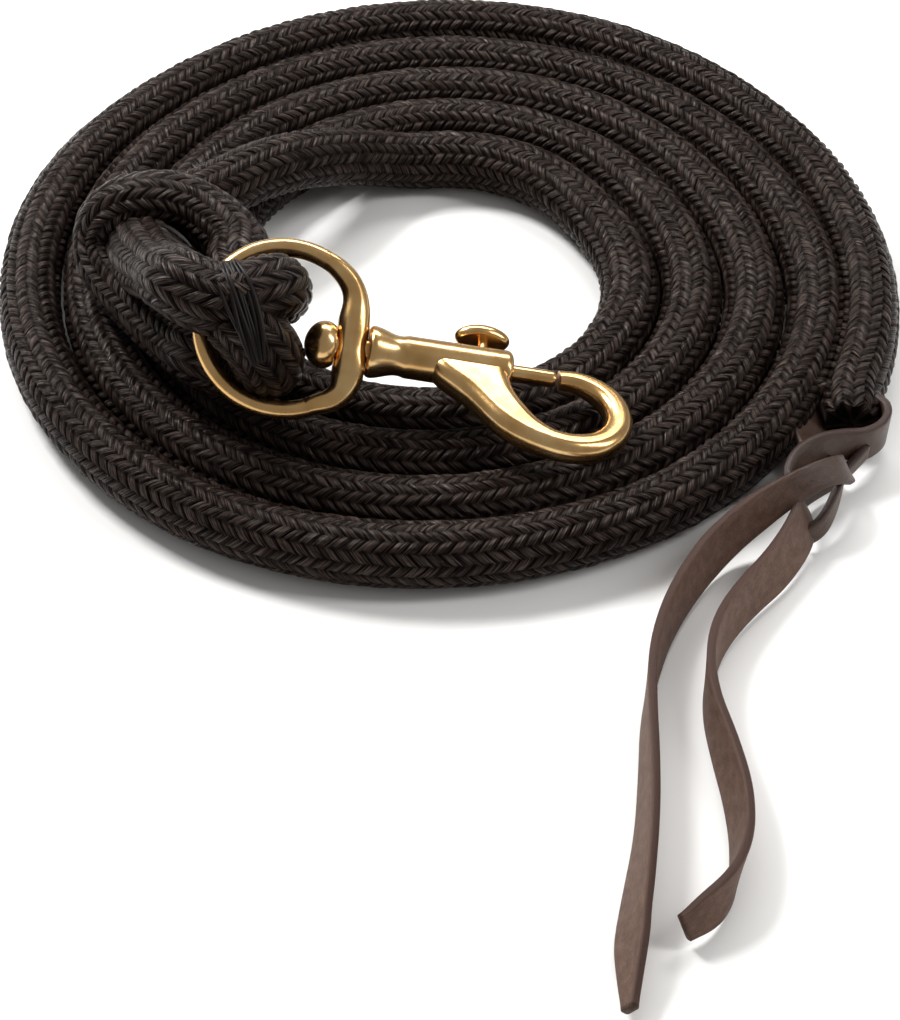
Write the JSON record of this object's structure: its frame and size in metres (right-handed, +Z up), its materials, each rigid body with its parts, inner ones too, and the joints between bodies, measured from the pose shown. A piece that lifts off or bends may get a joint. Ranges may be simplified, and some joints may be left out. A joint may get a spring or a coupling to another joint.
{
  "type": "lead rope",
  "caption": "Braided lead rope laid in a flat coil, with a brass bolt snap hitched to its spliced eye and a split leather popper tied at the other end.",
  "frame": {"origin": "middle of the footprint, on the floor under the coiled rope", "axes": "+X right with the snap pointing right, +Y away from the leather popper, +Z up"},
  "size_m": [0.2445, 0.3823, 0.0609],
  "materials": {
    "braided_rope": "matte",
    "popper_leather": "satin",
    "cast_brass": "polished",
    "spring_steel": "satin"
  },
  "bodies": {
    "rope": {"rope_coil": "braided_rope", "rope_lead_in": "braided_rope", "rope_splice": "braided_rope", "rope_eye": "braided_rope", "popper_knot": "popper_leather", "popper_tail_left": "popper_leather", "popper_tail_right": "popper_leather"},
    "eye": {"swivel_eye": "cast_brass"},
    "snap": {"snap_body": "cast_brass", "bolt_spring": "spring_steel"},
    "snap_bolt": {"bolt": "cast_brass", "thumb_stud": "cast_brass"}
  },
  "joints": [
    {"name": "eye_turn", "type": "hinge", "parent": "rope", "child": "eye", "pos_m": [-0.04039, -0.00739, 0.03808], "axis": [0.1475, -0.6428, 0.7517], "range_deg": [0, 25]},
    {"name": "snap_swivel", "type": "hinge", "parent": "eye", "child": "snap", "pos_m": [-0.0407, -0.0093, 0.0365], "axis": [-0.9813, 0, 0.1925], "range_deg": [0, 25]},
    {"name": "bolt_slide", "type": "slide", "parent": "snap", "child": "snap_bolt", "axis": [-0.9813, 0, 0.1925], "range_m": [0, 0.011], "stiffness_N_per_m": 400, "springref_m": -0.012, "deforming": ["bolt_spring"]}
  ]
}
